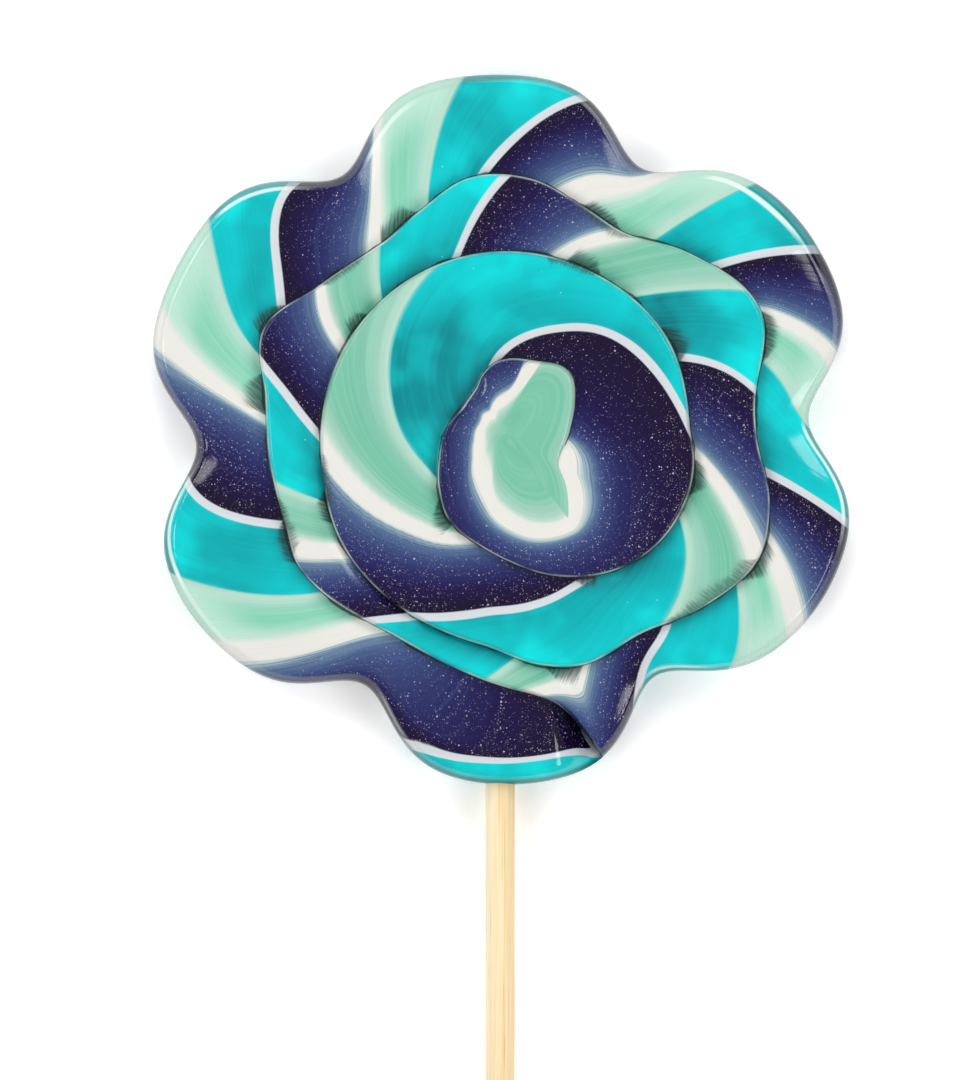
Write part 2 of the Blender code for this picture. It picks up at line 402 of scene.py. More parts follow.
MINT_WITHIN = 5.0
NAVY_WITHIN = 4.0


def bud_stage(angle, depth, to_thread):
    """The stage in the bud, where depth and to_thread are in millimetres."""
    cream, blue = through(MINT_TO_CREAM_DEPTH, angle), through(CREAM_TO_BLUE_DEPTH, angle)
    if depth >= cream:
        return CREAM_STAGE - MINT_SPAN * (1 - math.exp((cream - depth) / MINT_WITHIN))
    if depth >= blue:
        return BLUE_STAGE - (BLUE_STAGE - CREAM_STAGE) * (depth - blue) / (cream - blue)
    past = blue - depth
    ahead = max(to_thread, 0.0) * NAVY_WITHIN / (max(to_thread, 0.0) + NAVY_WITHIN)
    return BLUE_STAGE + (1 - BLUE_STAGE) * past / (past + ahead)


print("bud, cream to blue at 225 degrees, mm in:", through(CREAM_TO_BLUE_DEPTH, 225))

# %% [markdown]
# Rolling up the ribbon
#
# Blender's grid operator makes a flat sheet with one column for each station along the rope.
# Moving each of its points to its place in the coil rolls it up. The top and the back are two
# such sheets, and merging the points that fall together welds turn to turn and top to back, so
# that the head is one closed body. The places along the rope are worked out here for a whole
# sheet at a time: how far round, how far across, and which stripe.

# %% Stations and stripes on a sheet
STATION = 0.75
TAIL_PARTS = 4
WELD = 1e-7  # metres
POLE_STAGE = 0.46  # all stripes meet in the middle of the bud, so it has one even tone of mint
POLE_SIZE = 1.5
POLE_POINT = 0.05  # points nearer than this to the middle of the bud become one


def stations():
    """Angles along the rope, the same in every turn, and closer where its end is tucked."""
    angles = []
    for i in range(round((ROPE_END - CORE_START) / STATION)):
        angle = CORE_START + STATION * i
        before_end = (ROPE_END - angle) % 360
        parts = TAIL_PARTS if 0 < before_end <= TAIL_TUCK else 1
        angles += [angle + STATION * j / parts for j in range(parts)]
    return np.array(angles + [ROPE_END])


def all_stages(angles, radii, across):
    """The stage at every point of a sheet."""
    sheet = np.zeros_like(radii)
    for i, angle in enumerate(angles):
        seen_at = angle + 360 if angle < BUD_EDGE[0][0] else angle
        edge_there = edge(seen_at)
        for j, (radius, share) in enumerate(zip(radii[i], across[i])):
            first_thread = BORDERS[0, 0] + (BORDERS[0, 1] - BORDERS[0, 0]) * share
            if seen_at < first_thread:
                to_thread = math.radians(first_thread - seen_at) * radius
                depth = edge_there - radius if share <= 1 else 0
                off_pole = ease(radius, 0, POLE_SIZE)
                in_bud = bud_stage(seen_at, depth, to_thread)
                sheet[i, j] = POLE_STAGE + (in_bud - POLE_STAGE) * off_pole
            else:
                sheet[i, j] = stage(angle, share)
    return sheet


print("stations:", len(stations()))

# %% [markdown]
# How far off the white thread is
#
# The thread keeps its width however tight the twist is, so it is drawn by distance. Its border
# gives how many degrees past the thread a point lies, and dividing by how fast that number grows
# from one millimetre to the next turns degrees into millimetres, square across the thread.
# The sign turns round from thread to thread. Otherwise the number would have to jump from plus to
# minus halfway between two of them, and would pass zero where there is no thread.

# %% Distance from the thread
THREADS = np.array([(*twist[0], 0) for twist in TWISTS] + [(*LAST_THREAD, 1)])
LEAST_WIDTH = 0.05  # this and the next keep the sums finite in the middle of the bud
LEAST_RADIUS = 0.5


def past_thread(angles, inner, outer, radii, across, stages):
    """Millimetres past the nearest white thread at every point of a sheet."""
    number = np.clip(np.round(stages), 1, len(THREADS)).astype(int)
    start, end, bends = (THREADS[number - 1, i] for i in range(3))
    width = np.maximum(outer - inner, LEAST_WIDTH)
    share = np.where(across > 1, 2 - across, across)
    way = np.where(across > 1, -1.0, 1.0)
    drift = np.gradient(inner[:, 0], angles)[:, None]
    spread = np.gradient((outer - inner)[:, 0], angles)[:, None]
    lean = np.where(bends == 1, np.vectorize(bent)(across), across)
    leans_by = np.where(bends == 1, np.vectorize(bends_by)(across), 1.0)
    degrees = angles[:, None] - start - (end - start) * lean
    per_mm_out = (end - start) * leans_by * way / width
    per_degree = 1 + per_mm_out * (drift + share * spread)
    per_mm_round = per_degree * math.degrees(1) / np.maximum(radii, LEAST_RADIUS)
    return degrees / np.hypot(per_mm_out, per_mm_round) * (-1.0) ** number


print("threads:", len(THREADS))

# %% [markdown]
# Relief from the making
#
# Warm sugar never lies quite flat. The white thread sits in a fine groove where two strips were
# fused, and the whole surface has a slow ripple from the hand that coiled it. Both are a fraction
# of a millimetre, but on a glossy surface they bend the reflections, and that is what tells the
# eye that it is looking at sugar and not at print. Both stop short of the edges that get welded.

# %% Small relief
THREAD_GROOVE = 0.08
THREAD_HALF_WIDTH = 0.52
RIPPLE = 0.2
RIPPLE_LENGTH = 8.0
STILL_STRIP = 0.3
FREE_FROM_CREASE = 2.0
FREE_FROM_LIP = 2.5


def relief(x, y, off_thread, from_crease, from_lip):
    """Height to add, all in millimetres."""
    groove = -THREAD_GROOVE * math.exp(-((off_thread / THREAD_HALF_WIDTH) ** 2))
    wave = noise.noise(Vector((x, y, 0)) / RIPPLE_LENGTH)
    free = ease(from_crease, STILL_STRIP, FREE_FROM_CREASE)
    free *= ease(from_lip, STILL_STRIP, FREE_FROM_LIP)
    return free * (groove + RIPPLE * wave)


print("deepest groove, mm:", round(-relief(0, 0, 0, 9, 9), 3))

# %% [markdown]
# Squeezed places
#
# In some places, mostly beside the mint and cream, the lip of one turn squeezed the next turn into
# fine folds while the sugar was warm. Each row says how far along the rope such a place starts and
# ends, in degrees, and how far the folds reach, in millimetres. The first list is for folds that
# come out from under a lip, and the second for folds in the lip itself.

# %% Squeezed places
SQUEEZED = (
    (587, 604, 3.2), (655, 664, 2.0), (700, 712, 2.6), (739, 753, 3.4), (776, 789, 3.2),
    (858, 868, 2.4), (918, 930, 2.2), (1000, 1010, 3.4), (1047, 1058, 2.8), (1093, 1105, 2.8),
    (1138, 1150, 2.2), (1190, 1203, 3.4), (1229, 1239, 2.4), (1246, 1257, 4.2), (1281, 1294, 2.0),
)
SQUEEZED_LIPS = (
    (415, 436, 1.6), (545, 566, 2.0), (668, 694, 3.0), (772, 792, 1.8), (846, 862, 1.6),
    (915, 932, 2.0),
)
GROWS_OVER = 0.4  # of a place's length
STOPS_OVER = 3  # degrees


def reach_at(turned, places):
    """How far the folds of a list of places reach here. They grow slowly and stop soon."""
    return sum(
        reach
        * ease(turned, start, start + GROWS_OVER * (end - start))
        * ease(turned, end, end - STOPS_OVER)
        for start, end, reach in places
    )


print("squeezed places:", len(SQUEEZED) + len(SQUEEZED_LIPS))

# %% [markdown]
# Painted highlights in the rim
#
# Along the rim a pale line, a painted highlight, runs in some places. The first list gives where it
# starts and ends, in degrees, and how bright it is, from 0 to 1. The second says how many
# millimetres in from the edge it runs at an angle, because it wanders.

# %% Painted highlights in the rim
RIM_HIGHLIGHTS = (
    (1019, 1032, 0.6), (1059, 1082, 0.95), (1092, 1108, 0.3), (1109, 1132, 1.0), (1141, 1158, 0.4),
    (1182, 1198, 0.7), (1206, 1224, 0.9), (1264, 1287, 0.8), (1280, 1300, 0.6), (1324, 1334, 0.5),
)
RIM_HIGHLIGHT_DEPTH = (
    (1007, 1.0), (1024, 0.8), (1050, 1.0), (1070, 0.95), (1090, 1.1), (1103, 1.4), (1120, 1.9),
    (1135, 1.3), (1149, 1.4), (1165, 1.0), (1190, 2.0), (1202, 1.4), (1215, 1.4), (1227, 0.7),
    (1250, 0.8), (1275, 0.8), (1290, 1.3), (1310, 1.0), (1329, 0.9), (1368, 1.0),
)


def rim_highlight_depth(turned):
    return through(RIM_HIGHLIGHT_DEPTH, turned)


print("places with light in the rim:", len(RIM_HIGHLIGHTS))

# %% [markdown]
# What each point of a sheet knows
#
# Every pattern in the sugar follows the rope, so each point is told where on the rope it lies, in
# millimetres wherever it can, so that every pattern has its real size. The numbers go into UV maps,
# two to a map: `stripes` has the stage and the radius; `thread` the distances from the white thread
# and in from the lip; `crease` those along the crease and away from it; `folds` the reach of folds
# at the crease and at the lip; `rim` whether the edge is the rim, and the distance along it; and
# `lights` how bright the painted highlight in the rim is, and how deep. The back has no folds and
# no painted highlights. In the middle of the bud the edge shows no lip, so there every distance
# from it is made large.

# %% Survey of a sheet
LIP_GROWS_OVER = 40
FAR_OFF = 20.0
UV_MAPS = ("stripes", "thread", "crease", "folds", "rim", "lights")


def no_lip(turned):
    """1 in the middle of the bud, where the rope's edge doesn't show, and 0 along every lip."""
    return 1 - ease(turned, BUD_EDGE[0][0], BUD_EDGE[0][0] + LIP_GROWS_OVER)


def column(function, angles, *more):
    """One number for each station, standing in a column so that it holds for the whole row."""
    return np.array([function(a, *more) for a in angles])[:, None]


def survey(section, turned_over):
    """The place of every point of a sheet, in millimetres, and its two numbers in each UV map."""
    angles = stations()
    sheet = np.array([section(a) for a in angles])
    at_pole = sheet[:, :, 0] < POLE_POINT
    radii = np.where(at_pole, 0.0, sheet[:, :, 0])
    heights = np.where(at_pole, sheet[0, 0, 1], sheet[:, :, 1])
    inner, outer = column(edge, angles - 360), column(edge, angles)
    share = np.clip((radii - inner) / np.maximum(outer - inner, 1e-6), 0, 1)
    across = 2 - share if turned_over else share
    stages = all_stages(angles, radii, across)
    off_thread = past_thread(angles, inner, outer, radii, across, stages)
    turn = np.radians(angles)[:, None]
    xs, ys = radii * np.cos(turn), radii * np.sin(turn)
    if not turned_over:
        heights += np.vectorize(relief)(xs, ys, off_thread, radii - inner, outer - radii)
    turned_by = np.diff(turn, axis=0)
    steps = np.hypot(np.diff(inner, axis=0), turned_by * (inner[1:] + inner[:-1]) / 2)
    along_crease = np.concatenate(([[0]], np.cumsum(steps, axis=0)))
    along_lip = np.concatenate(([[0]], np.cumsum(turned_by * outer[1:], axis=0)))
    from_lip = outer - radii + FAR_OFF * column(no_lip, angles)
    from_crease = radii - inner + FAR_OFF * column(no_lip, angles - 360)
    shown = 0.0 if turned_over else 1.0
    reaches = [shown * column(reach_at, angles, p) for p in (SQUEEZED, SQUEEZED_LIPS, RIM_HIGHLIGHTS)]
    numbers = (
        (stages, radii),
        (off_thread, from_lip),
        (along_crease, from_crease),
        (reaches[0], reaches[1]),
        (column(at_rim, angles), along_lip),
        (reaches[2], column(rim_highlight_depth, angles)),
    )
    maps = [np.dstack(np.broadcast_arrays(*two, radii)[:2]) for two in numbers]
    return np.dstack((xs, ys, heights)), dict(zip(UV_MAPS, maps))


top_sheet, back_sheet = survey(top_section, False), survey(back_section, True)
print("stations and rows, top and back:", *(s[0].shape[:2] for s in (top_sheet, back_sheet)))

# %% [markdown]
# Rolling up one sheet
#
# The grid operator makes the flat sheet, and each point then goes to its place. The UV maps are
# written at the corners of the faces and not at the points, because two neighbouring turns share
# points but not stripes.

# %% Roll it up
def roll_up(bm, layers, places, maps):
    """Makes one sheet, rolls it up and fills its UV maps."""
    columns, rows = places.shape[0] - 1, places.shape[1] - 1
    grid = bmesh.ops.create_grid(bm, x_segments=columns, y_segments=rows, size=0.5)
    stands = {}
    for vertex in grid["verts"]:
        here = (round((vertex.co.x + 0.5) * columns), round((vertex.co.y + 0.5) * rows))
        vertex.co = places[here] * MM
        stands[vertex] = here
    for face in {f for v in grid["verts"] for f in v.link_faces}:
        for corner in face.loops:
            for name, layer in layers.items():
                corner[layer].uv = maps[name][stands[corner.vert]]


print("the rope's far end is rolled to, mm:", [round(v, 1) for v in top_sheet[0][-1, -1]])

# %% [markdown]
# The head
#
# The two sheets become one mesh. Merging closes every seam and the pole in the bud, and the
# normals are worked out afterwards, because the back's sheet was rolled up facing the other way.
# The hole for the stick is left to the solid underneath: here the sugar simply closes round the
# stick, as it does when the warm sweet is pressed onto it.

# %% Build the head
def finished(name, bm, node):
    """Puts the mesh in the scene, smooth shaded, and ties it to the frame."""
    mesh = bpy.data.meshes.new(name)
    bm.to_mesh(mesh)
    bm.free()
    piece = bpy.data.objects.new(name, mesh)
    bpy.context.scene.collection.objects.link(piece)
    mesh.shade_smooth()
    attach(piece, "root")
    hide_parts(node)
    return piece


def open_edges(bm):
    """How many edges don't join two faces. A closed body has none."""
    return sum(len(e.link_faces) != 2 for e in bm.edges)


def make_head():
    bm = bmesh.new()
    layers = {name: bm.loops.layers.uv.new(name) for name in UV_MAPS}
    roll_up(bm, layers, *top_sheet)
    roll_up(bm, layers, *back_sheet)
    bmesh.ops.remove_doubles(bm, verts=bm.verts, dist=WELD)
    bmesh.ops.dissolve_degenerate(bm, edges=bm.edges, dist=WELD)
    bmesh.ops.recalc_face_normals(bm, faces=bm.faces)
    print("head:", len(bm.verts), "points after welding, open edges", open_edges(bm))
    return finished("sugar_head", bm, "candy")


head = make_head()

# %% [markdown]
# The stick
#
# A bamboo lollipop stick is split from the cane and turned round, so it is straight, and it is cut
# off square with a softened edge. A circle is extruded along its length in many short steps, and
# each ring is shifted by a hair, so that highlights on it aren't ruler straight. The extrusion uses
# up the circle's own face, so the end inside the sugar is filled again. A bevel softens both ends.

# %% Build the stick
STICK_SIDES = 40
STICK_STEPS = 60
STICK_WANDER = 0.05
WANDER_LENGTH = 14
SECOND_LINE = 7  # another line through the same noise
STICK_END_ROUNDING = 0.35
END_EDGE_ANGLE = 60  # degrees; only the edges round both ends are sharper


def make_stick():
    low, high = (Vector(corner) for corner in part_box("stick"))
    middle = (low + high) / 2
    radius = (high.x - low.x) / 2 - STICK_WANDER * MM
    bm = bmesh.new()
    bmesh.ops.create_circle(bm, cap_ends=True, segments=STICK_SIDES, radius=radius)
    face = bm.faces[:][0]
    length = high.y - low.y
    for _ in range(STICK_STEPS):
        grown = bmesh.ops.extrude_discrete_faces(bm, faces=[face])
        face = grown["faces"][0]
        bmesh.ops.translate(bm, verts=face.verts, vec=(0, 0, length / STICK_STEPS))
    bmesh.ops.remove_doubles(bm, verts=bm.verts, dist=WELD)
    bmesh.ops.holes_fill(bm, edges=bm.edges, sides=0)
    rims = [e for e in bm.edges if e.calc_face_angle(0) > math.radians(END_EDGE_ANGLE)]
    bmesh.ops.bevel(
        bm, geom=rims, offset=STICK_END_ROUNDING * MM, segments=3, profile=0.5, affect="EDGES",
        material=-1,
    )
    for vertex in bm.verts:
        z = vertex.co.z / MM / WANDER_LENGTH
        sideways, upwards = (noise.noise(Vector((line, 0, z))) for line in (0, SECOND_LINE))
        vertex.co += Vector((sideways, upwards, 0)) * STICK_WANDER * MM
    lie_down = Matrix.Rotation(math.radians(90), 4, "X")
    place = Matrix.Translation((middle.x, high.y, middle.z))
    bmesh.ops.transform(bm, matrix=place @ lie_down, verts=bm.verts)
    bmesh.ops.recalc_face_normals(bm, faces=bm.faces)
    print("stick, mm:", round(length / MM, 1), "faces:", len(bm.faces), "open:", open_edges(bm))
    return finished("bamboo_stick", bm, "stick")


stick = make_stick()

# %% [markdown]
# Colours
#
# Colours are written as the sRGB hex values that a colour picker shows. Shaders work in linear
# light, so one function converts them. Another fills a colour ramp, which is Blender's way to look
# up a colour for a number.

# %% Helpers for colours
def linear(code):
    """An sRGB hex colour as linear red, green, blue and an alpha of 1."""
    parts = [int(code[i : i + 2], 16) / 255 for i in (1, 3, 5)]
    return (*(c / 12.92 if c <= 0.04045 else ((c + 0.055) / 1.055) ** 2.4 for c in parts), 1.0)


def paint(ramp, stops):
    """Sets a colour ramp's stops, given as (position, hex colour)."""
    elements = ramp.color_ramp.elements
    elements.remove(elements[-1])
    elements[0].position, elements[0].color = stops[0][0], linear(stops[0][1])
    for position, code in stops[1:]:
        elements.new(position).color = linear(code)


print("mid grey in linear light:", round(linear("#808080")[0], 3))

# %% [markdown]
# Nodes
#
# One function adds a node. It takes a short name for the kind of node, and then what goes into its
# sockets, in their order, so that each material below reads as a list of steps. FADE is 0 at its
# first number, 1 at its second, smooth between them and level beyond. LAY and DARKEN lay a colour
# on what is there, by a share from 0 to 1.

# %% Helpers for nodes
KINDS = {
    "UV": ("UVMap", {}),
    "PLACE": ("TexCoord", {}),
    "SPLIT": ("SeparateXYZ", {}),
    "JOIN": ("CombineXYZ", {}),
    "STRETCH": ("VectorMath", {"operation": "MULTIPLY"}),
    "CLOUD": ("TexNoise", {"noise_dimensions": "3D"}),
    "FLAT_CLOUD": ("TexNoise", {"noise_dimensions": "2D"}),
    "CELLS": ("TexVoronoi", {}),
    "COLOURS": ("ValToRGB", {}),
    "FADE": ("MapRange", {"interpolation_type": "SMOOTHSTEP"}),
    "LAY": ("Mix", {"data_type": "RGBA", "blend_type": "MIX"}),
    "DARKEN": ("Mix", {"data_type": "RGBA", "blend_type": "MULTIPLY"}),
    "BUMP": ("Bump", {}),
}


def new_material(name):
    made = bpy.data.materials.new(name)
    made.use_nodes = True
    return made, made.node_tree, made.node_tree.nodes["Principled BSDF"]


def add(kind, *inputs, **settings):
    """Adds a node to the material in hand and returns its first output.

    Each input is a value or another node's output. A kind that isn't listed is arithmetic.
    """
    full_name, preset = KINDS.get(kind, ("Math", {"operation": kind}))
    node = tree.nodes.new("ShaderNode" + full_name)
    for name, value in {**preset, **settings}.items():
        setattr(node, name, value)
    for socket, value in zip([s for s in node.inputs if s.enabled], inputs):
        if isinstance(value, bpy.types.NodeSocket):
            tree.links.new(value, socket)
        else:
            socket.default_value = value
    return next(s for s in node.outputs if s.enabled)


def product(*shares):
    """All the shares multiplied together."""
    result = shares[0]
    for share in shares[1:]:
        result = add("MULTIPLY", result, share)
    return result


print("kinds of node, besides arithmetic:", len(KINDS))

# %% [markdown]
# Pulled boiled sugar
#
# The real material is cooked sugar and glucose, coloured in the pan and pulled until it fills
# with fine threads of air. That gives the eye four things: a hard, wet gloss; colour that is
# clear and deep in turquoise and navy but milky in mint and cream, where more air was pulled in;
# fine streaks along every strip; and lines of tiny bubbles that glint in the dark strips.
# The material takes its bearings from the UV maps, whose numbers say where on the rope a point
# lies, and from the place in the sweet for patterns that don't follow the rope.

# %% Sugar: where a point lies
sugar, tree, shader = new_material("pulled_boiled_sugar")


def pair(name):
    """The two numbers of a UV map, and the map itself."""
    whole = add("UV", uv_map=name)
    parts = add("SPLIT", whole).node.outputs
    return parts[0], parts[1], whole


twists, _, stripes = pair("stripes")
off_thread, from_edge, _ = pair("thread")
along_crease, from_crease, crease = pair("crease")
fold_reach, lip_reach, _ = pair("folds")
rim_share, along_lip, _ = pair("rim")
highlight_strength, highlight_depth, _ = pair("lights")
place = add("PLACE").node.outputs["Object"]
print("maps read:", [n.uv_map for n in tree.nodes if n.bl_idname == "ShaderNodeUVMap"])

# %% [markdown]
# Streaks along the stripes
#
# Pulling draws every flaw out into a fine thread along the strip. A noise that is squeezed across
# the stripes and stretched along them gives such threads, a quarter of a millimetre wide. The same
# noise pushes the border between cream and blue to and fro, because those two strips were smeared
# into each other, while the border of the turquoise strip stayed clean.

# %% Sugar: streaks
STREAKS_IN_A_TWIST = 100.0
STREAK_LENGTH = 14.0
STREAK_DETAIL = 4.0
SMEAR = 0.075
LEAST_SMEAR = 0.012

stretched = add("STRETCH", stripes, (STREAKS_IN_A_TWIST, 1 / STREAK_LENGTH, 1))
streaks = add("FLAT_CLOUD", stretched, 1.0, STREAK_DETAIL)
round_the_twist = add("FRACT", twists)
smeared = product(add("FADE", round_the_twist, 0.6, 0.7), add("FADE", round_the_twist, 0.97, 0.86))
shift = product(add("SUBTRACT", streaks, 0.5), add("MULTIPLY_ADD", smeared, SMEAR, LEAST_SMEAR))
print("streaks in a twist:", STREAKS_IN_A_TWIST)

# %% [markdown]
# The colours of one twist
#
# In the first UV map the whole numbers are the white threads, and the part after the point says
# how far round the twist a point lies. One colour ramp over that part paints every turn. Cream
# runs into blue through greys, because the two strips mixed, and blue deepens slowly to navy.

# %% Sugar: the colour ramp
TURQUOISE = "#00b9bd"
HAZE = "#afd3c2"
PALE_MINT = "#94cdb9"
MINT = "#83c9ae"
MINT_TO_CREAM = "#bfd8cb"
CREAM = "#dfded7"
MIST = "#a3b8be"
SLATE = "#718a9f"
BLUE = "#4d658a"
DEEP_BLUE = "#364575"
INDIGO = "#24265d"
NAVY = "#190b43"
BLACK_NAVY = "#14062b"
ROUND_A_TWIST = (
    (0.0, TURQUOISE), (0.24, TURQUOISE), (0.252, HAZE), (0.272, HAZE), (0.31, PALE_MINT),
    (0.36, MINT), (0.43, MINT), (0.49, MINT_TO_CREAM), (0.53, CREAM), (0.68, CREAM), (0.705, MIST),
    (0.73, SLATE), (0.765, BLUE), (0.81, DEEP_BLUE), (0.87, INDIGO), (0.92, NAVY),
    (0.97, BLACK_NAVY),
)

colour = add("COLOURS", add("ADD", round_the_twist, shift, use_clamp=True))
paint(colour.node, ROUND_A_TWIST)
in_turquoise = add("FADE", round_the_twist, 0.247, 0.24)
in_mint = product(add("FADE", round_the_twist, 0.25, 0.3), add("FADE", round_the_twist, 0.53, 0.46))
in_navy = add("FADE", round_the_twist, 0.7, 0.82)
print("colours in one twist:", len(ROUND_A_TWIST))

# %% [markdown]
# Clear turquoise
#
# Turquoise is clear sugar, so light that goes in comes out changed. It is darker where the rope
# dives under its neighbour and away from its own lip, which is painted shade, and deep in slow
# clouds. It is brighter in patches, and near a lip or the rim it gets a painted glow, where the
# rope is thin and light would get in from the side. Distances from the rope's two edges, in
# millimetres, and noises a centimetre or so across drive all of this.

# %% Sugar: clear turquoise
DEEP_TURQUOISE = "#006f79"
BRIGHT_TURQUOISE = "#00e2e1"
CLOUD_SIZE = 14.0
PATCH_SIZE = 9.0
BANDS_IN_A_TWIST = 15.0
BAND_LENGTH = 22.0

clouds = add("CLOUD", place, 1 / (CLOUD_SIZE * MM), 1.0)
patches = add("CLOUD", place, 1 / (PATCH_SIZE * MM), 2.0)
stretched = add("STRETCH", stripes, (BANDS_IN_A_TWIST, 1 / BAND_LENGTH, 1))
bands = add("FLAT_CLOUD", stretched, 1.0, 1.0)
on_lips = add("SUBTRACT", 1.0, rim_share)
# Painted shade: darker under the neighbour's lip and away from the lip, besides random clouds.
shade_under_lip = add("FADE", from_crease, 3.4, 0.3)
clouds_and_painted_shade = add("MULTIPLY_ADD", shade_under_lip, 0.45, product(add("FADE", clouds, 0.56, 0.36), 0.4))
shade_away_from_lip = product(on_lips, add("FADE", from_edge, 2.0, 8.0))
clouds_and_painted_shade = add("MULTIPLY_ADD", shade_away_from_lip, 0.42, clouds_and_painted_shade, use_clamp=True)
colour = add("LAY", product(in_turquoise, clouds_and_painted_shade), colour, linear(DEEP_TURQUOISE))
# Painted glow: brighter near a lip or the rim, on top of random brighter patches.
banded = product(add("FADE", bands, 0.4, 0.65), 0.15)
bright_patches = add("MULTIPLY_ADD", add("FADE", patches, 0.45, 0.66), 0.75, banded)
painted_edge_glow = add("MULTIPLY_ADD", add("FADE", from_edge, 5.5, 1.3), 0.35, 0.45)
patches_and_painted_glow = add("MULTIPLY_ADD", bright_patches, painted_edge_glow, product(add("FADE", from_edge, 3.5, 1.0), 0.15))
colour = add("LAY", product(in_turquoise, patches_and_painted_glow), colour, linear(BRIGHT_TURQUOISE))
print("sugar nodes so far:", len(tree.nodes))

# %% [markdown]
# Milky mint, and light on the streaks
#
# Mint holds more air and is milky: it darkens towards the crease, which is painted shade, and a
# little on the inner turns, and it pales towards the rim.
# On top of that the lighter streaks are laid in a paler tone of each strip, and the darker ones
# dull whatever is under them a little.

# %% Sugar: milky mint and streaks
DARK_MINT = "#59a38a"
RIM_MINT = "#b8ddcd"
LIGHT_STREAKS = ((in_turquoise, 0.07, "#2fd8d4"), (in_mint, 0.12, "#b9e3d2"))
BLUE_STREAK = "#4a5f96"
DULL_STREAK = "#9fb4b2"

# Painted shade: mint darkens towards the crease, and a little on the inner turns.
darker_mint_and_crease_shade = add("MULTIPLY_ADD", add("FADE", from_crease, 3.0, 0.3), 0.5, product(on_lips, 0.42))
colour = add("LAY", product(in_mint, darker_mint_and_crease_shade), colour, linear(DARK_MINT))
banded = product(in_mint, add("FADE", bands, 0.45, 0.7), 0.2)
colour = add("LAY", banded, colour, linear(RIM_MINT))
to_rim = product(in_mint, rim_share, add("FADE", from_edge, 7.0, 1.5), 0.85)
colour = add("LAY", to_rim, colour, linear(RIM_MINT))
light = add("FADE", streaks, 0.48, 0.75)
for strip, strength, tone in LIGHT_STREAKS:
    colour = add("LAY", product(light, strip, strength), colour, linear(tone))
blue_streaks = product(light, in_navy, add("FADE", round_the_twist, 0.95, 0.82), 0.45)
colour = add("LAY", blue_streaks, colour, linear(BLUE_STREAK))
colour = add("DARKEN", product(add("FADE", streaks, 0.5, 0.25), 0.08), colour, linear(DULL_STREAK))
print("sugar nodes so far:", len(tree.nodes))

# %% [markdown]
# The white thread
#
# A strip of bubble-filled white sugar, thinner than the others, separates turquoise from navy. The
# second UV map holds the distance from its middle, so two thresholds on it draw a line of even
# width. A slow noise makes it a little wider and narrower, as a pulled thread is.

# %% Sugar: the white thread
THREAD = "#d2d6da"
THREAD_SOFT_EDGE = 0.1
THREAD_UNEVEN = 0.3

from_middle = add("SUBTRACT", add("ABSOLUTE", off_thread), THREAD_UNEVEN / 2)
from_middle = add("MULTIPLY_ADD", clouds, THREAD_UNEVEN, from_middle)
outside, within = THREAD_HALF_WIDTH + THREAD_SOFT_EDGE, THREAD_HALF_WIDTH - THREAD_SOFT_EDGE
thread = product(add("FADE", from_middle, outside, within), 0.94)
colour = add("LAY", thread, colour, linear(THREAD))
print("white thread, mm wide:", 2 * THREAD_HALF_WIDTH)

# %% [markdown]
# Bubbles
#
# Bubbles are bright specks about a tenth of a millimetre across, drawn here up to twice that so
# that they show. A Voronoi texture gives one point a cell, a threshold on the distance makes a dot
# of it, and the cell's own random colour decides whether the dot is kept and how bright it is.
# More are kept on the light streaks, so the dots line up along the stripes.

# %% Sugar: bubbles
BUBBLE = "#c9c6d6"
TURQUOISE_BUBBLE = "#b5f0ec"


def specks(spacing, size, kept):
    """Dots of a size, a spacing apart, both in millimetres, with a share of them kept."""
    distance = add("CELLS", place, 1 / (spacing * MM))
    near = add("FADE", distance, size / spacing / 2, size / spacing / 5)
    chance = add("SPLIT", distance.node.outputs["Color"]).node.outputs
    return product(
        near, add("LESS_THAN", chance[0], kept), add("MULTIPLY_ADD", chance[1], 0.8, 0.2)
    )


gathered = product(add("FADE", clouds, 0.35, 0.6), add("FADE", streaks, 0.42, 0.58))
fine = product(specks(0.24, 0.15, add("MULTIPLY_ADD", gathered, 0.5, 0.3)), 0.5)
many = specks(0.38, 0.21, add("MULTIPLY_ADD", gathered, 0.75, 0.1))
large = specks(0.95, 0.34, add("MULTIPLY_ADD", gathered, 0.5, 0.12))
bubbles = add("MAXIMUM", fine, add("MAXIMUM", many, large))
colour = add("LAY", product(bubbles, in_navy, 0.9), colour, linear(BUBBLE))
few = specks(1.3, 0.24, product(add("FADE", clouds, 0.5, 0.62), 0.3))
colour = add("LAY", product(few, in_turquoise, 0.7), colour, linear(TURQUOISE_BUBBLE))
print("sugar nodes so far:", len(tree.nodes))

# %% [markdown]
# Creases and folds
#
# Where one turn tucks under the next, a thin line of painted shadow is drawn, uneven in width. At
# the squeezed places fine folds in darker painted shade run out from it, square to the lip, over a
# patch of painted shade. The third UV map measures along the crease and away from it, and the
# fourth says how far the folds reach, so one noise with lines a fifth of a millimetre apart draws
# them all.

# %% Sugar: creases and folds
PAINTED_CREASE_SHADOW = "#0c1d20"
CREASE_SHADE = "#77837f"
FOLD_SHADE = "#2a4c46"
FOLD_SPACING = 0.2
FOLD_LENGTH = 2.5
FOLD_LEAN = 0.7
FOLD_SCALE = (1 / FOLD_SPACING, 1 / FOLD_LENGTH, 1)
UNEVEN_SCALE = (1 / 6.0, 0, 1)  # one change in 6 mm along a lip or crease, and none across it


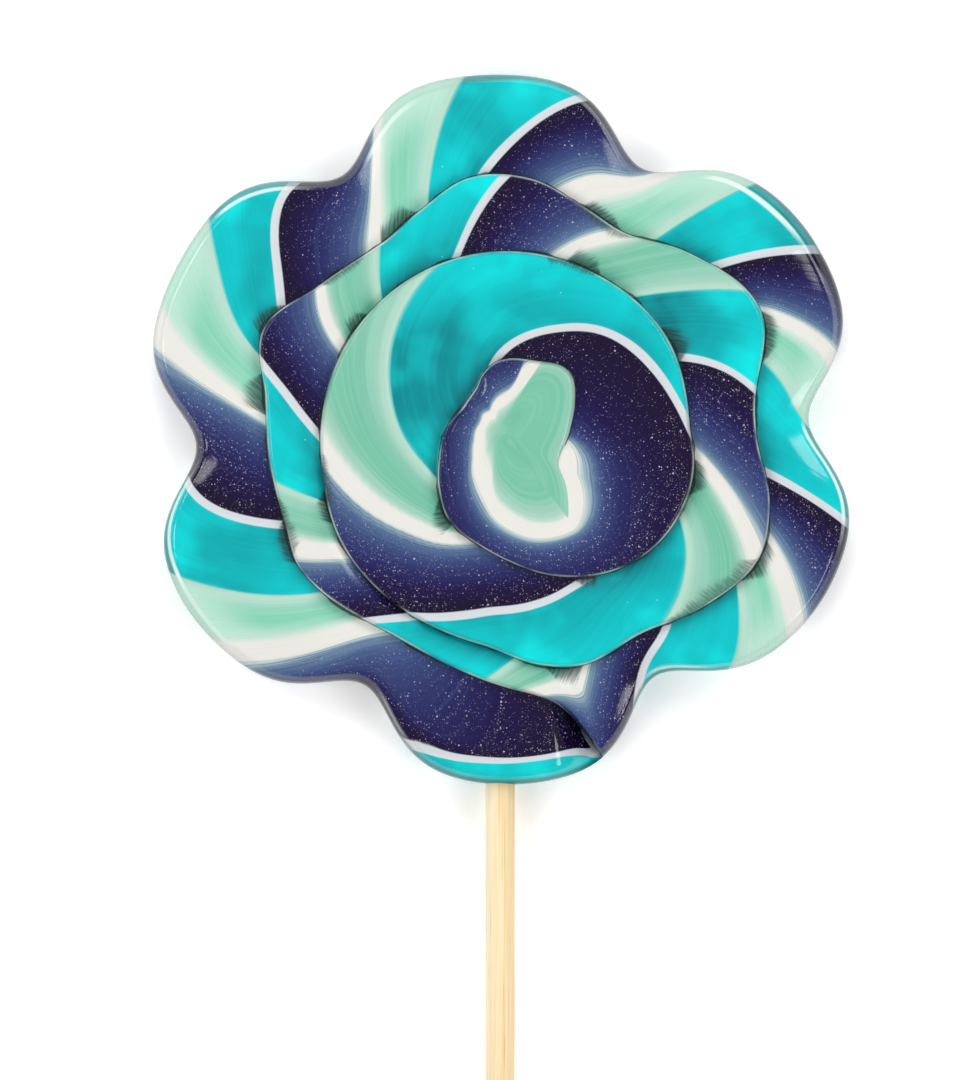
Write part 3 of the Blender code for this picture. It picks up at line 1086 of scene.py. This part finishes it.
def folded(away, reach, uneven, lines):
    """The painted shade of a squeezed place, with a ragged far side, and the folds in it, in darker
    painted shade.
    """
    ragged = add("MULTIPLY_ADD", lines, 0.3, add("MULTIPLY_ADD", uneven, 1.0, 0.1))
    share = add("DIVIDE", away, add("MAXIMUM", product(reach, ragged), 0.05))
    soft = product(add("FADE", share, 1.2, 0.0), 0.5)
    core = add("MULTIPLY_ADD", add("FADE", share, 1.0, 0.45), 0.5, soft)
    shade_patch = product(core, add("FADE", reach, 0.1, 0.8))
    return shade_patch, product(shade_patch, add("FADE", lines, 0.42, 0.6))


uneven = add("FLAT_CLOUD", add("STRETCH", crease, UNEVEN_SCALE), 1.0, 5.0)
# Painted shadow: a thin dark line along the crease, of uneven width.
crease_shadow_width = add("MULTIPLY_ADD", add("FADE", uneven, 0.42, 0.7), 0.34, 0.1)
crease_shadow_width = add("MULTIPLY_ADD", fold_reach, 0.06, crease_shadow_width)
line = add("FADE", add("DIVIDE", from_crease, crease_shadow_width), 1.0, 0.6)
leaned = add("JOIN", add("MULTIPLY_ADD", from_crease, FOLD_LEAN, along_crease), from_crease)
fold_lines = add("FLAT_CLOUD", add("STRETCH", leaned, FOLD_SCALE), 1.0, 2.0)
# Painted shade over each squeezed place, and darker painted shade in the folds, which also dent the
# bump.
fold_shade_patch, fold_grooves_and_shade = folded(from_crease, fold_reach, uneven, fold_lines)
colour = add("LAY", product(fold_shade_patch, 0.75), colour, linear(FOLD_SHADE))
colour = add("LAY", product(fold_grooves_and_shade, 0.5), colour, linear(PAINTED_CREASE_SHADOW))
# Painted shade: the sugar darkens a little close to the crease.
near_crease = product(add("FADE", from_crease, 1.6, 0.0), 0.15)
colour = add("DARKEN", near_crease, colour, linear(CREASE_SHADE))
colour = add("LAY", product(line, 0.82), colour, linear(PAINTED_CREASE_SHADOW))
print("sugar nodes so far:", len(tree.nodes))

# %% [markdown]
# Lips
#
# Along a lip the sugar is thin and lit through, drawn as a painted highlight: a fine pale line,
# broken here and there. Where a lip was squeezed it has folds of its own, in painted shade.

# %% Sugar: lips
PAINTED_HIGHLIGHT = "#e6f4ee"

lip = add("JOIN", along_lip, from_edge)
broken = add("FLAT_CLOUD", add("STRETCH", lip, UNEVEN_SCALE), 1.0, 2.0)
lip_lines = add("FLAT_CLOUD", add("STRETCH", lip, FOLD_SCALE), 1.0, 2.0)
# Painted shade over each squeezed lip, and darker painted shade in its folds.
lip_shade_patch, lip_grooves_and_shade = folded(from_edge, lip_reach, broken, lip_lines)
colour = add("LAY", product(lip_shade_patch, 0.55), colour, linear(FOLD_SHADE))
colour = add("LAY", product(lip_grooves_and_shade, 0.35), colour, linear(PAINTED_CREASE_SHADOW))
# Painted highlight: a fine pale line along each lip, broken here and there.
top_of_lip = product(add("FADE", from_edge, 0.36, 0.16), add("FADE", from_edge, 0.0, 0.1))
lip_highlight = product(on_lips, top_of_lip, add("FADE", broken, 0.3, 0.65), 0.72)
colour = add("LAY", lip_highlight, colour, linear(PAINTED_HIGHLIGHT))
print("sugar nodes so far:", len(tree.nodes))

# %% [markdown]
# The rim
#
# Along the rim the sugar is thick and glassy. Its outer edge gets painted shade, darkest at the
# very edge, as the edge of a glass looks dark. One to two millimetres inside that a painted
# highlight, a
# fine pale line, comes and goes: the last UV map says how bright it is, and how far in. The clear
# strips show this most.

# %% Sugar: the rim
RIM_SHADE = "#86a5a6"
RIM_EDGE_SHADE = "#7f9599"

# Painted shade: the rim darkens outside its highlight line, and most at the very edge.
clear = add("MAXIMUM", in_turquoise, in_navy)
past_line = add("SUBTRACT", from_edge, highlight_depth)
band_strength = add("MULTIPLY_ADD", clear, 0.6, 0.1)
rim_shade_band = product(rim_share, add("FADE", past_line, 0.1, -0.5), band_strength)
colour = add("DARKEN", rim_shade_band, colour, linear(RIM_SHADE))
edge_strength = add("MULTIPLY_ADD", clear, 0.45, 0.4)
rim_edge_shade = product(rim_share, add("FADE", from_edge, 0.75, 0.1), edge_strength)
colour = add("DARKEN", rim_edge_shade, colour, linear(RIM_EDGE_SHADE))
# Painted highlight: a pale line in the rim, as bright and as deep as the last UV map says.
highlight_width = add("MULTIPLY_ADD", highlight_depth, 0.2, 0.14)
off_highlight = add("DIVIDE", add("ABSOLUTE", past_line), highlight_width)
highlight_by_strip = add("MULTIPLY_ADD", in_navy, -0.4, 0.85)
rim_highlight = product(highlight_strength, add("FADE", off_highlight, 1.0, 0.35), highlight_by_strip)
colour = add("LAY", rim_highlight, colour, linear(PAINTED_HIGHLIGHT))
tree.links.new(colour, shader.inputs["Base Color"])
print("sugar nodes:", len(tree.nodes))

# %% [markdown]
# Gloss
#
# Boiled sugar is a glass: its refractive index is about 1.5 and it sets with a skin as smooth as
# varnish. A little light also wanders through it, which softens the edges of the stripes. The
# fine relief comes from the same streaks and folds that colour it, and from a slow waviness a few
# millimetres long, which breaks up the reflections. The side of the rim reflects the white table
# less strongly, so that the edge stays as dark as it is in the real sweet.

# %% Sugar: gloss and fine relief
BUMP_HEIGHT = 0.06
BUMP_STRENGTH = 0.8
WAVE_SIZE = 4.0
SUGAR = {
    "Roughness": 0.09, "IOR": 1.5, "Subsurface Weight": 0.1,
    "Subsurface Radius": (1.0, 1.0, 1.0), "Subsurface Scale": 0.5 * MM,
}

waves = add("CLOUD", place, 1 / (WAVE_SIZE * MM), 1.0)
height = add("MULTIPLY_ADD", waves, 1.0, product(streaks, 0.25))
height = add("SUBTRACT", height, product(add("MAXIMUM", fold_grooves_and_shade, lip_grooves_and_shade), 0.9))
bump = add("BUMP", BUMP_STRENGTH, BUMP_HEIGHT * MM)
tree.links.new(height, bump.node.inputs["Height"])
tree.links.new(bump, shader.inputs["Normal"])
side_of_rim = product(rim_share, add("FADE", from_edge, 1.2, 0.5))
tree.links.new(add("MULTIPLY_ADD", side_of_rim, -0.43, 0.5), shader.inputs["Specular IOR Level"])
for name, value in SUGAR.items():
    shader.inputs[name].default_value = value
head.data.materials.append(sugar)
print("sugar:", SUGAR)

# %% [markdown]
# Bamboo
#
# Split and turned bamboo, unvarnished. It is made of stiff fibre bundles in softer pith, so it
# shows long fine lines, straw-coloured to light brown, and darker pores between them. A noise on
# object coordinates, stretched some sixty times along the stick, gives the fibres, and a broader
# one gives the slow change of tone. One side of this stick gets painted light, so it is paler, and
# the other painted shade, so it is browner.

# %% Bamboo
FIBRE_WIDTH = 0.22
FIBRE_LENGTH = 14.0
BAND_WIDTH = 1.6
BAND_RUN = 60.0
STRAW = ((0.42, "#dcb781"), (0.52, "#e8c992"), (0.62, "#efd7a8"), (0.74, "#f4e3c0"))
LIT_STRAW = "#f8edd2"
SHADED_STRAW = "#e6bd7b"
PORE = "#b58f5c"
GRAIN_HEIGHT = 0.04
BAMBOO = {"Roughness": 0.55, "IOR": 1.5}

bamboo, tree, shader = new_material("turned_bamboo")
place = add("PLACE").node.outputs["Object"]
scales = [
    tuple(1 / (size * MM) for size in (width, length, width))
    for width, length in ((FIBRE_WIDTH, FIBRE_LENGTH), (BAND_WIDTH, BAND_RUN))
]
fibres = add("CLOUD", add("STRETCH", place, scales[0]), 1.0, 3.0)
bands = add("CLOUD", add("STRETCH", place, scales[1]), 1.0, 1.0)
straw = add("COLOURS", add("MULTIPLY_ADD", bands, 0.7, product(fibres, 0.55)))
paint(straw.node, STRAW)
across_stick = add("SPLIT", place)
# Painted light on one side of the stick and painted shade on the other.
painted_lit_side = product(add("FADE", across_stick, -0.1 * MM, -1.7 * MM), 0.55)
straw = add("LAY", painted_lit_side, straw, linear(LIT_STRAW))
painted_shaded_side = product(add("FADE", across_stick, 0.4 * MM, 1.8 * MM), 0.4)
straw = add("LAY", painted_shaded_side, straw, linear(SHADED_STRAW))
straw = add("LAY", product(add("FADE", fibres, 0.36, 0.28), 0.5), straw, linear(PORE))
tree.links.new(straw, shader.inputs["Base Color"])
grain = add("BUMP", 0.3, GRAIN_HEIGHT * MM)
tree.links.new(fibres, grain.node.inputs["Height"])
tree.links.new(grain, shader.inputs["Normal"])
for name, value in BAMBOO.items():
    shader.inputs[name].default_value = value
stick.data.materials.append(bamboo)
print("bamboo nodes:", len(tree.nodes))

# %% [markdown]
# The table
#
# The sweet is shown on plain white with hardly a shadow, so it lies on a light table: one large
# sheet of milky acrylic, lit faintly from below. It also throws light back up at the rim.

# %% Table
TABLE_SIZE = 3.0
TABLE_GLOW = 0.25

bm = bmesh.new()
bmesh.ops.create_grid(bm, x_segments=1, y_segments=1, size=TABLE_SIZE / 2)
table_mesh = bpy.data.meshes.new("table")
bm.to_mesh(table_mesh)
bm.free()
table = bpy.data.objects.new("table", table_mesh)
bpy.context.scene.collection.objects.link(table)
white, _, shader = new_material("milky_acrylic")
shader.inputs["Base Color"].default_value = linear("#fdfdfd")
shader.inputs["Roughness"].default_value = 0.6
shader.inputs["Emission Color"].default_value = linear("#ffffff")
shader.inputs["Emission Strength"].default_value = TABLE_GLOW
table_mesh.materials.append(white)
print("table, m:", TABLE_SIZE)

# %% [markdown]
# The camera
#
# The picture was taken from straight above with a long lens, so the petals show no perspective.
# The camera stands over a point just below the middle of the head, far away, and its lens is
# worked out from the size of what it has to show.

# %% Camera
PICTURE_WIDE, PICTURE_HIGH = 980, 1080
PIXELS_PER_MM = 7.5
HEAD_MIDDLE_PIXEL = (500, 430)
CAMERA_HEIGHT = 1.4
SENSOR = 36.0

aim_x = (PICTURE_WIDE / 2 - HEAD_MIDDLE_PIXEL[0]) / PIXELS_PER_MM * MM
aim_y = -(PICTURE_HIGH / 2 - HEAD_MIDDLE_PIXEL[1]) / PIXELS_PER_MM * MM
view_high = PICTURE_HIGH / PIXELS_PER_MM * MM
lens = bpy.data.cameras.new("camera")
lens.sensor_width = SENSOR
lens.lens = SENSOR * CAMERA_HEIGHT / view_high
camera = bpy.data.objects.new("camera", lens)
camera.location = (aim_x, aim_y, CAMERA_HEIGHT + WIDEST_HEIGHT * MM)
bpy.context.scene.collection.objects.link(camera)
bpy.context.scene.camera = camera
print("lens, mm:", round(lens.lens, 1))

# %% [markdown]
# The light
#
# A white room with soft panels all round. Four small ones are low enough to glint on the lips and
# the rim. Three large ones give most of the light, from behind polarising film, and the camera has
# a crossed filter, so they light the sugar but leave no veil on the dark stripes.

# %% Light
LIGHT_DISTANCE = 0.8
ROOM_LIGHT = 0.26
# Each row has a name, two angles in degrees, a size in metres, watts, and whether it glints.
PANELS = (
    ("upper_right", 32, 44, 0.22, 0.7, True), ("upper_left", 152, 44, 0.22, 0.7, True),
    ("left", 182, 40, 0.18, 0.6, True), ("right", 334, 40, 0.18, 0.6, True),
    ("above", 92, 46, 0.4, 2.6, False), ("lower_left", 212, 46, 0.4, 1.9, False),
    ("lower_right", 332, 46, 0.4, 1.9, False),
)


def soft_panel(name, azimuth, elevation, size, power, glints):
    """A square panel that looks at the head, with its two angles in degrees."""
    data = bpy.data.lights.new(name, "AREA")
    data.shape, data.size, data.energy = "SQUARE", size, power
    panel = bpy.data.objects.new(name, data)
    round_by, up_by = math.radians(azimuth), math.radians(elevation)
    level = math.cos(up_by)
    back = Vector((level * math.cos(round_by), level * math.sin(round_by), math.sin(up_by)))
    panel.location = back * LIGHT_DISTANCE
    panel.rotation_mode = "QUATERNION"
    panel.rotation_quaternion = back.to_track_quat("Z", "Y")
    panel.visible_glossy = glints
    bpy.context.scene.collection.objects.link(panel)


for panel_settings in PANELS:
    soft_panel(*panel_settings)

world = bpy.data.worlds.new("white_room")
world.use_nodes = True
room = world.node_tree.nodes["Background"]
room.inputs["Color"].default_value = linear("#ffffff")
room.inputs["Strength"].default_value = ROOM_LIGHT
bpy.context.scene.world = world
bpy.context.scene.view_settings.view_transform = "Standard"
print("panels:", len(PANELS), "with", round(sum(p[4] for p in PANELS), 1), "watts in all")
